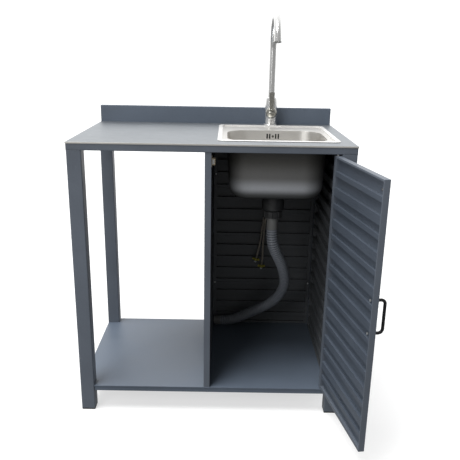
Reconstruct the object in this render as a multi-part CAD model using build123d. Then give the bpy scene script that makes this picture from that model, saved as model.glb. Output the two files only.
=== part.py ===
from build123d import *
import math
import os

# Free-standing handwash cabinet, in millimetres, +Z up, the user stands at -Y.
# The parts are drawn round the cabinet: x = 0 is the middle of the worktop, y = 0 its front
# edge and z = 0 the ground. They are moved at the end, so that the origin is the bottom
# centre of the whole object's box, with the door standing open.

# ---- driving dimensions: worktop and frame -----------------------------------------------
TOP_W = 870.0           # worktop width
TOP_D = 580.0           # worktop depth
TOP_Z = 900.0           # worktop height
TOP_T = 5.0             # worktop board
OVERHANG = 1.5          # worktop beyond the frame, at the front and sides
LEG = 45.0              # square leg tube
LEG_WALL = 2.0
LEG_CORNER_R = 3.0
BAR = 20.0              # thickness of rails, panels and the splashback
BAR_WALL = 1.5
FOOT_T = 5.0            # foot cap below the leg
SHELF_Z = 91.0          # upper face of the bottom shelf
SHELF_DROP = 19.0       # folded edge of the shelf
SHELF_SHEET = 2.0
SHELF_LIP = 4.5          # height of the lip that stands out over the folded edge
SHELF_LIP_OUT = 1.5
SPLASH_H = 60.0         # splashback above the worktop

# ---- driving dimensions: cupboard and door -----------------------------------------------
DIVIDER_X = -1.0        # cupboard face of the wall between the two bays
PLANK_PITCH = 96.7      # height of one interlocking plank
PLANK_SKIN = 8.0        # hollow skin of a plank
PLANK_WALL = 1.5
JOINT_RIB = 25.0        # wide rib, half on each plank
MID_RIB = 14.0          # narrow rib in a plank
MID_RIB_UP = 46.9       # bottom of the narrow rib above the plank's lower joint
PLANK_GAP = 0.2
PLANK_GROOVE = 1.5      # bevel along a plank's outer edges
PLANK_TRIM = 6.0        # a strip lower than this belongs to the plank below it
DOOR_T = 17.5           # door thickness
DOOR_GAP_TOP = 4.5
DOOR_GAP_BOTTOM = 3.0
DOOR_LENGTH = 376.0     # hinge axis to the free edge
DOOR_HEEL = 7.0         # hinge axis to the hinge edge
HINGE_TO_LEG = 12.0     # hinge axis to the inner face of the right leg
DOOR_OPEN = 99.5        # the door stands open by this angle
PIN_D = 6.0
RUNNING_GAP = 0.05      # radial clearance of a pin in its bush
HANDLE_FROM_HINGE = 341.0
HANDLE_Z = 492.5
HANDLE_CENTRES = 96.0
HANDLE_ROD = 9.0
HANDLE_STANDOFF = 33.0
CATCH_Z = 844.5

# ---- driving dimensions: sink ------------------------------------------------------------
SINK_X = 205.0          # middle of the sink
SINK_W = 380.0
SINK_FRONT = 68.0
SINK_D = 440.0
RIM_H = 3.0             # rim above the worktop
RIM_BAND = 14.0         # width of the raised band round the deck
DECK_Z = 898.2          # upper face of the recessed deck
STEEL_T = 1.2
BOWL_W = 322.0
BOWL_D = 288.0
BOWL_Y = 239.0          # middle of the bowl
BOWL_CORNER_R = 75.0
BOWL_DRAFT = 3.3        # wall slope in degrees
BOWL_BOTTOM_Z = 707.0
BOWL_BOTTOM_R = 42.0
DRAIN_HOLE_D = 62.0
CUTOUT_MARGIN = 12.0    # rim beyond the cut-out in the worktop

# ---- driving dimensions: waste -----------------------------------------------------------
WASTE_BODY_D = 75.0
WASTE_BODY_Z = 650.0
WASTE_NUT_D = 66.0
WASTE_CUFF_TOP_Z = 622.5
HOSE_START_Z = 581.0
HOSE_D = 40.0
CUFF_D = 38.0
OVERFLOW_PIPE_D = 18.0

# ---- driving dimensions: tap -------------------------------------------------------------
TAP_X = 205.5
TAP_Y = 542.0
TAP_BASE_D = 52.0
TAP_BODY_R = 20.5
TAP_SHOULDER_Z = 1001.0
MIXER_Z = 947.0         # axis of the mixer, pointing at the user
MIXER_FACE_Y = 515.0    # front end of the mixer's housing
SPOUT_D = 25.0
SPOUT_BORE = 21.0
SPOUT_ARC_R = 110.0
SPOUT_ARC_Z = 1166.0
SPOUT_SWEEP = 161.4
SUPPLY_D = 8.0
SHANK_D = 24.0
SHANK_END_Z = 855.0

# ---- derived places ----------------------------------------------------------------------
FRAME_X = TOP_W / 2 - OVERHANG
FRAME_FRONT = OVERHANG
FRAME_BACK = TOP_D
RAIL_TOP = TOP_Z - TOP_T
RAIL_Z = RAIL_TOP - BAR
LEG_INNER_X = FRAME_X - LEG
HINGE_X = LEG_INNER_X - HINGE_TO_LEG
HINGE_Y = FRAME_FRONT + BAR / 2
DOOR_BOTTOM = SHELF_Z + DOOR_GAP_BOTTOM
DOOR_TOP = RAIL_Z - DOOR_GAP_TOP
DOOR_FREE_X = HINGE_X - DOOR_LENGTH
DRAIN = (SINK_X, BOWL_Y)
SINK_Y = SINK_FRONT + SINK_D / 2

parts = {}              # node name: the node's solids


# ---- helpers -----------------------------------------------------------------------------
def block(x0, x1, y0, y1, z0, z1):
    """A box between two corners."""
    return Pos((x0 + x1) / 2, (y0 + y1) / 2, (z0 + z1) / 2) * Box(x1 - x0, y1 - y0, z1 - z0)


def disc(x, y, z0, z1, diameter):
    """An upright cylinder."""
    return Pos(x, y, (z0 + z1) / 2) * Cylinder(diameter / 2, z1 - z0)


def rod_y(x, z, y0, y1, diameter):
    """A cylinder along Y."""
    return Pos(x, (y0 + y1) / 2, z) * Rot(90, 0, 0) * Cylinder(diameter / 2, y1 - y0)


def rod_between(start, end, diameter):
    """A cylinder from one point to another."""
    axis = Vector(*end) - Vector(*start)
    plane = Plane(origin=start, z_dir=axis.normalized())
    return plane * Pos(0, 0, axis.length / 2) * Cylinder(diameter / 2, axis.length)


def rect_tube(a, b, wall, radius, length):
    """A rectangular tube from z = 0 upwards."""
    outer = RectangleRounded(a, b, radius)
    inner = RectangleRounded(a - 2 * wall, b - 2 * wall, max(radius - wall, 0.5))
    return extrude(outer - inner, amount=length)


def swept(points, radii, diameter, bore=0.0):
    """A round tube along straight runs joined by tangent arcs."""
    path = FilletPolyline(*points, radius=radii)
    section = Circle(diameter / 2)
    if bore:
        section = section - Circle(bore / 2)
    start = Plane(origin=path @ 0, z_dir=path % 0)
    return sweep(start * section, path=path)


def route_radii(points):
    """The arc at each corner of a free hose's route: as large as its two runs allow."""
    radii = []
    for before, corner, after in zip(points, points[1:], points[2:]):
        run_in = Vector(*corner) - Vector(*before)
        run_out = Vector(*after) - Vector(*corner)
        half_turn = math.radians(run_in.get_angle(run_out)) / 2
        radii.append(0.45 * min(run_in.length, run_out.length) / math.tan(half_turn))
    return radii


def free_hose(name, points, diameter):
    """A hose's plain tube, with its radii and its volume against section times length."""
    radii = route_radii(points)
    length = FilletPolyline(*points, radius=radii).length
    tube = swept(points, radii, diameter)
    section = math.pi * diameter ** 2 / 4
    print(name, "length", round(length, 1), "smallest radius", round(min(radii), 1),
          "volume ratio", round(tube.volume / (section * length), 4))
    parts[name] = tube


def planks(length, z0, z1, first_joint, depth):
    """Interlocking planks: local X along them, Y from the outer face (0) to the rib faces.

    A plank that ends at the frame's upper lip has no upper half rib.
    """
    stack = []
    joint = first_joint - PLANK_PITCH
    half_rib = JOINT_RIB / 2
    while joint < z1 - PLANK_TRIM:
        top = joint + PLANK_PITCH - PLANK_GAP
        mid = joint + MID_RIB_UP
        lower = [
            (0, joint + PLANK_GROOVE), (PLANK_GROOVE, joint), (depth, joint),
            (depth, joint + half_rib), (PLANK_SKIN, joint + half_rib), (PLANK_SKIN, mid),
            (depth, mid), (depth, mid + MID_RIB), (PLANK_SKIN, mid + MID_RIB)]
        upper = [
            (PLANK_SKIN, top - half_rib), (depth, top - half_rib), (depth, top),
            (PLANK_GROOVE, top), (0, top - PLANK_GROOVE)]
        if top > z1 - PLANK_TRIM:
            top = max(top, z1)
            upper = [(PLANK_SKIN, top), (0, top)]
        outline = Polyline(*lower, *upper, close=True)
        low = max(joint, z0)
        high = min(top, z1)
        clip = Pos(depth / 2, (low + high) / 2) * Rectangle(2 * depth, high - low)
        profile = make_face(outline) & clip
        hollow = offset(profile, amount=-PLANK_WALL, kind=Kind.INTERSECTION)
        stack.append(extrude(Plane.YZ * (profile - hollow), amount=length))
        joint += PLANK_PITCH
    return stack


def panel_ring(x0, x1, y0, y1, z0, z1, side, top, bottom):
    """A flat rectangular frame in the XZ plane."""
    window = block(x0 + side, x1 - side, y0 - 1, y1 + 1, z0 + bottom, z1 - top)
    return block(x0, x1, y0, y1, z0, z1) - window


def pan_screw_y(x, z, face_y, head_d, head_t, shank_d, shank_end):
    """A screw along Y whose head stands on the side of face_y away from its shank."""
    side = 1 if shank_end > face_y else -1
    head_y = sorted((face_y - side * head_t, face_y))
    shank_y = sorted((face_y - side * 0.5, shank_end))
    return rod_y(x, z, *head_y, head_d) + rod_y(x, z, *shank_y, shank_d)


def compound(solids):
    return Compound(children=list(solids))


# ---- legs and feet -----------------------------------------------------------------------
leg_names = {
    "front_left": (-1, FRAME_FRONT + LEG / 2),
    "front_right": (1, FRAME_FRONT + LEG / 2),
    "rear_left": (-1, FRAME_BACK - LEG / 2),
    "rear_right": (1, FRAME_BACK - LEG / 2),
}
foot_caps = []
foot_plug = LEG - 2 * LEG_WALL - 0.4
for name, (side, y) in leg_names.items():
    x = side * (FRAME_X - LEG / 2)
    tube = rect_tube(LEG, LEG, LEG_WALL, LEG_CORNER_R, RAIL_Z - FOOT_T)
    parts[name + "_leg"] = Pos(x, y, FOOT_T) * tube
    pad = extrude(RectangleRounded(LEG, LEG, LEG_CORNER_R), amount=FOOT_T)
    pad = chamfer(pad.edges().group_by(Axis.Z)[0], length=1.5)
    plug = extrude(Pos(0, 0, FOOT_T) * RectangleRounded(foot_plug, foot_plug, 1.0), amount=15)
    foot_caps.append(Pos(x, y, 0) * (pad + plug))
parts["foot_caps"] = compound(foot_caps)

# ---- top frame ---------------------------------------------------------------------------
RAIL_MID_Z = RAIL_Z + BAR / 2
along_x = Rot(0, 90, 0)
along_y = Rot(-90, 0, 0)
front_rail = rect_tube(BAR, LEG, BAR_WALL, 2.0, 2 * FRAME_X)
rear_rail = rect_tube(BAR, BAR, BAR_WALL, 2.0, 2 * FRAME_X)
side_run = FRAME_BACK - BAR - FRAME_FRONT - LEG
side_rail = rect_tube(LEG, BAR, BAR_WALL, 2.0, side_run)
cross_rail = rect_tube(BAR, BAR, BAR_WALL, 2.0, side_run)
upper_pin_hole = disc(HINGE_X, HINGE_Y, RAIL_Z - 1, RAIL_Z + 5, PIN_D)
front_rail = Pos(-FRAME_X, FRAME_FRONT + LEG / 2, RAIL_MID_Z) * along_x * front_rail
parts["front_top_rail"] = front_rail - upper_pin_hole
parts["rear_top_rail"] = Pos(-FRAME_X, FRAME_BACK - BAR / 2, RAIL_MID_Z) * along_x * rear_rail
side_start = FRAME_FRONT + LEG
for name, x in (("left", -FRAME_X + LEG / 2), ("right", FRAME_X - LEG / 2)):
    parts[name + "_top_rail"] = Pos(x, side_start, RAIL_MID_Z) * along_y * side_rail
parts["divider_top_rail"] = (
    Pos(DIVIDER_X - BAR / 2, side_start, RAIL_MID_Z) * along_y * cross_rail)

# ---- bottom shelf: a folded tray, notched round the legs ---------------------------------
SHELF_SET_BACK = 1.0     # shelf behind the faces of the legs
shelf_x = FRAME_X - SHELF_SET_BACK
shelf_front = FRAME_FRONT + SHELF_SET_BACK
shelf_back = FRAME_BACK - SHELF_SET_BACK
shelf_middle = Pos(0, (shelf_front + shelf_back) / 2)
shelf_plan = shelf_middle * Rectangle(2 * shelf_x, shelf_back - shelf_front)
for side, y in leg_names.values():
    shelf_plan -= Pos(side * (FRAME_X - LEG / 2), y) * Rectangle(LEG, LEG)
skirt_plan = offset(shelf_plan, amount=-SHELF_LIP_OUT, kind=Kind.INTERSECTION)
tray_inside = offset(skirt_plan, amount=-SHELF_SHEET, kind=Kind.INTERSECTION)
shelf = extrude(Pos(0, 0, SHELF_Z - SHELF_LIP) * shelf_plan, amount=SHELF_LIP)
shelf += extrude(Pos(0, 0, SHELF_Z - SHELF_DROP) * skirt_plan, amount=SHELF_DROP - SHELF_SHEET)
shelf -= extrude(Pos(0, 0, SHELF_Z - SHELF_DROP - 1) * tray_inside,
                 amount=SHELF_DROP - SHELF_SHEET + 1)
lower_pin_hole = disc(HINGE_X, HINGE_Y, SHELF_Z - 5, SHELF_Z + 1, PIN_D)
parts["bottom_shelf"] = shelf - lower_pin_hole

# ---- cupboard walls ----------------------------------------------------------------------
WALL_JOINT = SHELF_Z + 82.2         # lowest plank joint of the fixed walls
WALL_LIP = 11.0
LIP_THIN = 8.0
panel_front = FRAME_BACK - BAR - 2.0
panel_back = FRAME_BACK - 2.0
parts["back_panel_frame"] = panel_ring(
    DIVIDER_X, LEG_INNER_X, panel_front, panel_back, SHELF_Z, RAIL_Z,
    WALL_LIP, LIP_THIN, LIP_THIN)
back_length = LEG_INNER_X - DIVIDER_X - 2 * WALL_LIP
wall_planks = planks(back_length, SHELF_Z + LIP_THIN, RAIL_Z - LIP_THIN, WALL_JOINT, BAR)
back_place = Pos(LEG_INNER_X - WALL_LIP, panel_back, 0) * Rot(0, 0, 180)
parts["back_planks"] = compound(back_place * plank for plank in wall_planks)

side_x0 = LEG_INNER_X + 0.5
side_y0 = FRAME_FRONT + LEG
side_y1 = FRAME_BACK - LEG
ring = panel_ring(side_y0, side_y1, -side_x0 - BAR, -side_x0, SHELF_Z, RAIL_Z,
                  WALL_LIP, LIP_THIN, LIP_THIN)
parts["side_panel_frame"] = Rot(0, 0, 90) * ring
side_length = side_y1 - side_y0 - 2 * WALL_LIP
wall_planks = planks(side_length, SHELF_Z + LIP_THIN, RAIL_Z - LIP_THIN, WALL_JOINT, BAR)
side_place = Pos(side_x0 + BAR, side_y0 + WALL_LIP, 0) * Rot(0, 0, 90)
parts["side_planks"] = compound(side_place * plank for plank in wall_planks)

divider_y0 = FRAME_FRONT + 2.5
ring = panel_ring(divider_y0, panel_back, -DIVIDER_X, -DIVIDER_X + BAR, SHELF_Z, RAIL_Z,
                  BAR, LIP_THIN, LIP_THIN)
parts["divider_frame"] = Rot(0, 0, 90) * ring
divider_length = panel_back - divider_y0 - 2 * BAR
wall_planks = planks(divider_length, SHELF_Z + LIP_THIN, RAIL_Z - LIP_THIN, WALL_JOINT, BAR)
divider_place = Pos(DIVIDER_X - BAR, panel_back - BAR, 0) * Rot(0, 0, -90)
parts["divider_planks"] = compound(divider_place * plank for plank in wall_planks)

# Screws that hold the back panel's frame, in its two upright lips.
SCREW_HEIGHTS = (267.0, 711.0)
screw_x = (DIVIDER_X + WALL_LIP / 2, LEG_INNER_X - WALL_LIP / 2)
panel_screws = [
    pan_screw_y(x, z, panel_front, 7.0, 2.0, 3.5, panel_back - 3.0)
    for x in screw_x for z in SCREW_HEIGHTS
]
parts["panel_screws"] = compound(panel_screws)
screw_holes = [rod_y(x, z, panel_front - 1, panel_back - 3.0, 3.5)
               for x in screw_x for z in SCREW_HEIGHTS]
parts["back_panel_frame"] -= screw_holes

# ---- worktop and splashback --------------------------------------------------------------
worktop = block(-TOP_W / 2, TOP_W / 2, 0, TOP_D, RAIL_TOP, TOP_Z)
worktop = chamfer(worktop.edges().group_by(Axis.Z)[-1], length=0.8)
cutout_w = SINK_W - 2 * CUTOUT_MARGIN
cutout_d = SINK_D - 2 * CUTOUT_MARGIN
cutout = Pos(SINK_X, SINK_Y, RAIL_TOP - 1) * extrude(
    RectangleRounded(cutout_w, cutout_d, 12.0), amount=TOP_T + 2)
tap_hole = disc(TAP_X, TAP_Y, RAIL_TOP - 1, TOP_Z + 1, SHANK_D + 2)
parts["worktop"] = worktop - cutout - tap_hole

splash = rect_tube(SPLASH_H + TOP_T + BAR, BAR, BAR_WALL, 1.8, 2 * FRAME_X)
splash_z = (RAIL_Z + TOP_Z + SPLASH_H) / 2
parts["splashback"] = Pos(-FRAME_X, TOP_D + BAR / 2, splash_z) * along_x * splash

# ---- magnetic catch on the divider -------------------------------------------------------
CATCH_GAP = 1.5          # closed door to the catch's face
CATCH_Y = HINGE_Y + DOOR_T / 2 + CATCH_GAP
catch_base = block(DIVIDER_X, DIVIDER_X + 1.5, CATCH_Y + 3, CATCH_Y + 21,
                   CATCH_Z - 16.5, CATCH_Z + 16.5)
catch_case = block(DIVIDER_X, DIVIDER_X + 11, CATCH_Y + 1.5, CATCH_Y + 27,
                   CATCH_Z - 10, CATCH_Z + 10)
catch_case = fillet(catch_case.edges().filter_by(Axis.Y), radius=2.0)
magnet = block(DIVIDER_X + 2.5, DIVIDER_X + 9, CATCH_Y, CATCH_Y + 8, CATCH_Z - 7, CATCH_Z + 7)
parts["magnetic_catch"] = catch_base + catch_case - magnet
parts["catch_magnet"] = magnet

# ---- door, drawn closed and then swung open ----------------------------------------------
door_back_y = HINGE_Y + DOOR_T / 2
door_front_y = HINGE_Y - DOOR_T / 2
DOOR_STILE = 20.0
DOOR_FREE_LIP = 3.0
DOOR_TOP_LIP = 6.0
DOOR_BOTTOM_LIP = 12.0
DOOR_JOINT = 185.5                  # lowest plank joint of the door
BUSH_D = 10.0
BUSH_L = 12.0
door_right_x = HINGE_X + DOOR_HEEL
window = block(DOOR_FREE_X + DOOR_FREE_LIP, door_right_x - DOOR_STILE, door_front_y - 1,
               door_back_y + 1, DOOR_BOTTOM + DOOR_BOTTOM_LIP, DOOR_TOP - DOOR_TOP_LIP)
door_frame = block(DOOR_FREE_X, door_right_x, door_front_y, door_back_y, DOOR_BOTTOM, DOOR_TOP)
door_frame = fillet(door_frame.edges(), radius=1.0) - window
bush_spans = ((DOOR_BOTTOM, DOOR_BOTTOM + BUSH_L), (DOOR_TOP - BUSH_L, DOOR_TOP))
bushes = []
for z0, z1 in bush_spans:
    door_frame -= disc(HINGE_X, HINGE_Y, z0, z1, BUSH_D)
    bush = disc(HINGE_X, HINGE_Y, z0, z1, BUSH_D)
    bushes.append(bush - disc(HINGE_X, HINGE_Y, z0 - 1, z1 + 1, PIN_D + 2 * RUNNING_GAP))

door_plank_length = DOOR_LENGTH + DOOR_HEEL - DOOR_FREE_LIP - DOOR_STILE
door_stack = planks(door_plank_length, DOOR_BOTTOM + DOOR_BOTTOM_LIP,
                    DOOR_TOP - DOOR_TOP_LIP, DOOR_JOINT, DOOR_T)
door_place = Pos(DOOR_FREE_X + DOOR_FREE_LIP, door_front_y, 0)
door_stack = [door_place * plank for plank in door_stack]

handle_x = HINGE_X - HANDLE_FROM_HINGE
handle_z = (HANDLE_Z - HANDLE_CENTRES / 2, HANDLE_Z + HANDLE_CENTRES / 2)
bow_y = door_front_y - HANDLE_STANDOFF
handle = swept(
    [(handle_x, door_front_y, handle_z[0]), (handle_x, bow_y, handle_z[0]),
     (handle_x, bow_y, handle_z[1]), (handle_x, door_front_y, handle_z[1])],
    12.0, HANDLE_ROD)
handle_screws = []
SCREW_D = 4.0
recess_y = door_front_y + PLANK_SKIN
for z in handle_z:
    shank = rod_y(handle_x, z, door_front_y - 12, recess_y + 0.5, SCREW_D)
    handle -= rod_y(handle_x, z, door_front_y - 12, door_front_y + 1, SCREW_D)
    door_stack = [plank - rod_y(handle_x, z, door_front_y - 1, recess_y + 1, SCREW_D + 0.3)
                  for plank in door_stack]
    head = rod_y(handle_x, z, recess_y, recess_y + 3.0, 7.0)
    handle_screws.append(head + shank)

STRIKE_FROM_HINGE = 369.5
strike_x = HINGE_X - STRIKE_FROM_HINGE
strike = rod_y(strike_x, CATCH_Z, recess_y, door_back_y, 6.0)
strike += rod_y(strike_x, CATCH_Z, door_back_y, door_back_y + 1.0, 8.0)

swing = Pos(HINGE_X, HINGE_Y, 0) * Rot(0, 0, DOOR_OPEN) * Pos(-HINGE_X, -HINGE_Y, 0)
parts["door_frame"] = swing * door_frame
parts["door_planks"] = compound(swing * plank for plank in door_stack)
parts["door_handle"] = swing * handle
parts["handle_screws"] = compound(swing * screw for screw in handle_screws)
parts["strike_plate"] = swing * strike
parts["hinge_bushes"] = compound(swing * bush for bush in bushes)

# Fixed pins, one in the top rail and one in the shelf; a washer carries the door.
upper_pin = disc(HINGE_X, HINGE_Y, DOOR_TOP - BUSH_L + 2, RAIL_Z + 5, PIN_D)
lower_pin = disc(HINGE_X, HINGE_Y, SHELF_Z - 5, DOOR_BOTTOM + BUSH_L - 2, PIN_D)
pin_head = disc(HINGE_X, HINGE_Y, SHELF_Z - 5, SHELF_Z - SHELF_SHEET, PIN_D + 4)
parts["hinge_pins"] = compound([upper_pin, lower_pin + pin_head])
washer = disc(HINGE_X, HINGE_Y, SHELF_Z, DOOR_BOTTOM - 0.1, 11.0)
parts["hinge_washer"] = washer - disc(HINGE_X, HINGE_Y, SHELF_Z - 1, DOOR_BOTTOM, PIN_D)

# ---- sink --------------------------------------------------------------------------------
deck_under = DECK_Z - STEEL_T
GASKET_T = 0.8
rim = Pos(SINK_X, SINK_Y, TOP_Z + GASKET_T) * extrude(
    RectangleRounded(SINK_W, SINK_D, 20.0), amount=RIM_H - GASKET_T)
rim = fillet(rim.edges().group_by(Axis.Z)[-1], radius=1.5)
deck_w = SINK_W - 2 * RIM_BAND
deck_d = SINK_D - 2 * RIM_BAND
deck_block = Pos(SINK_X, SINK_Y, deck_under) * extrude(
    RectangleRounded(deck_w + 2 * STEEL_T, deck_d + 2 * STEEL_T, 12.0),
    amount=TOP_Z + 1.5 - deck_under)
deck_recess = Pos(SINK_X, SINK_Y, DECK_Z) * extrude(
    RectangleRounded(deck_w, deck_d, 11.0), amount=20.0)
bowl_place = Pos(SINK_X, BOWL_Y, DECK_Z) * Rot(180, 0, 0)
bowl_depth = DECK_Z - BOWL_BOTTOM_Z
bowl_out = extrude(RectangleRounded(BOWL_W, BOWL_D, BOWL_CORNER_R), amount=bowl_depth,
                   taper=BOWL_DRAFT)
bowl_out = fillet(bowl_out.edges().group_by(Axis.Z)[-1], radius=BOWL_BOTTOM_R)
bowl_in = extrude(
    RectangleRounded(BOWL_W - 2 * STEEL_T, BOWL_D - 2 * STEEL_T, BOWL_CORNER_R - STEEL_T),
    amount=bowl_depth - STEEL_T, taper=BOWL_DRAFT)
bowl_in = fillet(bowl_in.edges().group_by(Axis.Z)[-1], radius=BOWL_BOTTOM_R - STEEL_T)
bowl_out = bowl_place * bowl_out
bowl_in = bowl_place * bowl_in
sink = (rim + deck_block - deck_recess + bowl_out) - bowl_in
sink -= disc(*DRAIN, BOWL_BOTTOM_Z - 5, BOWL_BOTTOM_Z + 5, DRAIN_HOLE_D)

# Overflow: four upright slots about a screw in the bowl's back wall.
OVERFLOW_Z = 878.5
SLOT_W = 5.0
SLOT_H = 17.0
SLOT_X = (-19.5, -10.5, 10.5, 19.5)
wall_slope = math.tan(math.radians(BOWL_DRAFT))
wall_y = BOWL_Y + BOWL_D / 2 - (DECK_Z - OVERFLOW_Z) * wall_slope
for slot_x in SLOT_X:
    x = SINK_X + slot_x
    sink -= block(x - SLOT_W / 2, x + SLOT_W / 2, wall_y - 5, wall_y + 5,
                  OVERFLOW_Z - SLOT_H / 2, OVERFLOW_Z + SLOT_H / 2)
sink -= rod_y(SINK_X, OVERFLOW_Z, wall_y - 5, wall_y + 5, SCREW_D + 0.4)
parts["sink_bowl"] = sink

gasket = Pos(SINK_X, SINK_Y, TOP_Z) * extrude(
    RectangleRounded(SINK_W - 3, SINK_D - 3, 18.5)
    - RectangleRounded(cutout_w + 2, cutout_d + 2, 13.0), amount=GASKET_T)
parts["sink_gasket"] = gasket

# Clips below the deck's edge reach under the worktop.
CLIP_W = 12.0
clip_y = (SINK_FRONT + 90, SINK_Y, SINK_FRONT + SINK_D - 90)
clip_reach = 5.0
clips = []
for side in (-1, 1):
    edge_x = SINK_X + side * cutout_w / 2
    deck_x = SINK_X + side * (deck_w / 2 - 4)
    tip_x = edge_x + side * clip_reach
    for y in clip_y:
        foot = block(*sorted((deck_x, tip_x)), y - CLIP_W / 2, y + CLIP_W / 2,
                     RAIL_TOP - 10, RAIL_TOP - 7)
        stem = block(*sorted((deck_x, deck_x + side * 3)), y - CLIP_W / 2, y + CLIP_W / 2,
                     RAIL_TOP - 10, deck_under)
        jaw = block(*sorted((tip_x - side * 3, tip_x)), y - CLIP_W / 2, y + CLIP_W / 2,
                    RAIL_TOP - 10, RAIL_TOP)
        clips.append(foot + stem + jaw)
parts["sink_clips"] = compound(clips)

# ---- overflow housing and pipe -----------------------------------------------------------
housing_y0 = BOWL_Y + BOWL_D / 2 + 0.5
housing_y1 = housing_y0 + 19
pipe_y = housing_y0 + 9.5
overflow_housing = block(SINK_X - 31, SINK_X + 31, housing_y0, housing_y1, 862, 893)
overflow_housing = fillet(overflow_housing.edges().filter_by(Axis.Y), radius=6.0)
overflow_housing -= block(SINK_X - 27, SINK_X + 27, housing_y0 - 1, housing_y1 - 3, 866, 889)
overflow_boss = rod_y(SINK_X, OVERFLOW_Z, housing_y0, housing_y1 - 1, 9.0)
overflow_housing += overflow_boss
overflow_housing -= rod_y(SINK_X, OVERFLOW_Z, housing_y0 - 1, housing_y0 + 12, SCREW_D)
overflow_housing -= disc(SINK_X, pipe_y, 861, 867, 12.0)
parts["overflow_housing"] = overflow_housing

PORT_Z = 672.0
PORT_END_Y = BOWL_Y + WASTE_BODY_D / 2 + 8
parts["overflow_pipe"] = swept(
    [(SINK_X, pipe_y, 862), (SINK_X, pipe_y, PORT_Z), (SINK_X, PORT_END_Y, PORT_Z)],
    30.0, OVERFLOW_PIPE_D, OVERFLOW_PIPE_D - 4)

# ---- waste: flange, basket, body, nut and cuff -------------------------------------------
bowl_floor = BOWL_BOTTOM_Z + STEEL_T
FLANGE_CUP_D = 60.0
CUP_FLOOR_Z = 690.0
drain_flange = disc(*DRAIN, bowl_floor, bowl_floor + 1.5, 80.0)
drain_flange += disc(*DRAIN, CUP_FLOOR_Z, bowl_floor + 1, FLANGE_CUP_D)
drain_flange = chamfer(drain_flange.edges().group_by(Axis.Z)[-1], length=0.9)
drain_flange -= disc(*DRAIN, CUP_FLOOR_Z + 1.5, bowl_floor + 5, FLANGE_CUP_D - 4)
for index in range(6):
    angle = math.radians(60 * index)
    hole = (DRAIN[0] + 17 * math.cos(angle), DRAIN[1] + 17 * math.sin(angle))
    drain_flange -= disc(*hole, CUP_FLOOR_Z - 1, CUP_FLOOR_Z + 3, 11.0)
drain_flange -= disc(*DRAIN, CUP_FLOOR_Z - 1, CUP_FLOOR_Z + 3, 6.0)
parts["drain_flange"] = drain_flange

basket_top = bowl_floor + 1.0
BASKET_D = 55.0
basket_low = CUP_FLOOR_Z + 4.3
basket = disc(*DRAIN, basket_low, basket_top, BASKET_D)
basket -= disc(*DRAIN, basket_low + 1.2, basket_top + 1, BASKET_D - 3)
basket += disc(*DRAIN, basket_low, basket_top + 4, 7.0)
basket += disc(*DRAIN, basket_top + 3.5, basket_top + 7, 15.0)
for ring_r, count in ((10.0, 8), (18.5, 14)):
    for index in range(count):
        angle = 2 * math.pi * index / count
        hole = (DRAIN[0] + ring_r * math.cos(angle), DRAIN[1] + ring_r * math.sin(angle))
        basket -= disc(*hole, basket_low - 1, basket_low + 2, 4.0)
parts["strainer_basket"] = basket

seal_z = BOWL_BOTTOM_Z - 2.0
parts["drain_seal"] = (disc(*DRAIN, seal_z, BOWL_BOTTOM_Z, WASTE_BODY_D - 1)
                       - disc(*DRAIN, seal_z - 1, BOWL_BOTTOM_Z + 1, FLANGE_CUP_D + 4))

SPIGOT_D = 44.0
SPIGOT_BORE = 34.0
WEB_Z = WASTE_BODY_Z + 3
waste_body = disc(*DRAIN, WASTE_BODY_Z, seal_z, WASTE_BODY_D)
waste_body = fillet(waste_body.edges().group_by(Axis.Z)[0], radius=4.0)
waste_body += disc(*DRAIN, WASTE_CUFF_TOP_Z, WASTE_BODY_Z + 2, SPIGOT_D)
waste_body += rod_y(SINK_X, PORT_Z, BOWL_Y + WASTE_BODY_D / 2 - 3, PORT_END_Y, OVERFLOW_PIPE_D)
waste_body -= disc(*DRAIN, WEB_Z + 10, seal_z + 1, 64.0)
waste_body -= disc(*DRAIN, WASTE_CUFF_TOP_Z - 1, WEB_Z + 11, SPIGOT_BORE)
waste_body -= rod_y(SINK_X, PORT_Z, BOWL_Y + 20, PORT_END_Y + 1, OVERFLOW_PIPE_D - 4)
web = block(DRAIN[0] - 20, DRAIN[0] + 20, DRAIN[1] - 2, DRAIN[1] + 2, WEB_Z, WEB_Z + 10)
boss = disc(*DRAIN, WEB_Z, WEB_Z + 14, 12.0)
waste_body += web + boss
waste_body -= disc(*DRAIN, WEB_Z - 1, WEB_Z + 15, 6.0)
parts["waste_body"] = waste_body

drain_screw = disc(*DRAIN, WEB_Z + 2, CUP_FLOOR_Z + 2, 6.0)
drain_screw += disc(*DRAIN, CUP_FLOOR_Z + 1.5, CUP_FLOOR_Z + 4, 12.0)
overflow_screw = rod_y(SINK_X, OVERFLOW_Z, wall_y - STEEL_T - 2.4, wall_y - STEEL_T - 0.35, 8.0)
overflow_screw += rod_y(SINK_X, OVERFLOW_Z, wall_y - STEEL_T - 0.6, housing_y0 + 10, SCREW_D)
parts["waste_screws"] = compound([drain_screw, overflow_screw])

NUT_TOP_Z = WASTE_BODY_Z - 3
waste_nut = disc(*DRAIN, WASTE_CUFF_TOP_Z + 2, NUT_TOP_Z, WASTE_NUT_D)
waste_nut = chamfer(waste_nut.edges().group_by(Axis.Z)[-1], length=2.0)
for index in range(12):
    angle = 2 * math.pi * index / 12
    centre = (DRAIN[0] + WASTE_NUT_D / 2 * math.cos(angle),
              DRAIN[1] + WASTE_NUT_D / 2 * math.sin(angle))
    waste_nut -= disc(*centre, WASTE_CUFF_TOP_Z, NUT_TOP_Z + 1, 5.0)
waste_nut -= disc(*DRAIN, WASTE_CUFF_TOP_Z, NUT_TOP_Z + 1, SPIGOT_D)
parts["waste_nut"] = waste_nut

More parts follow.
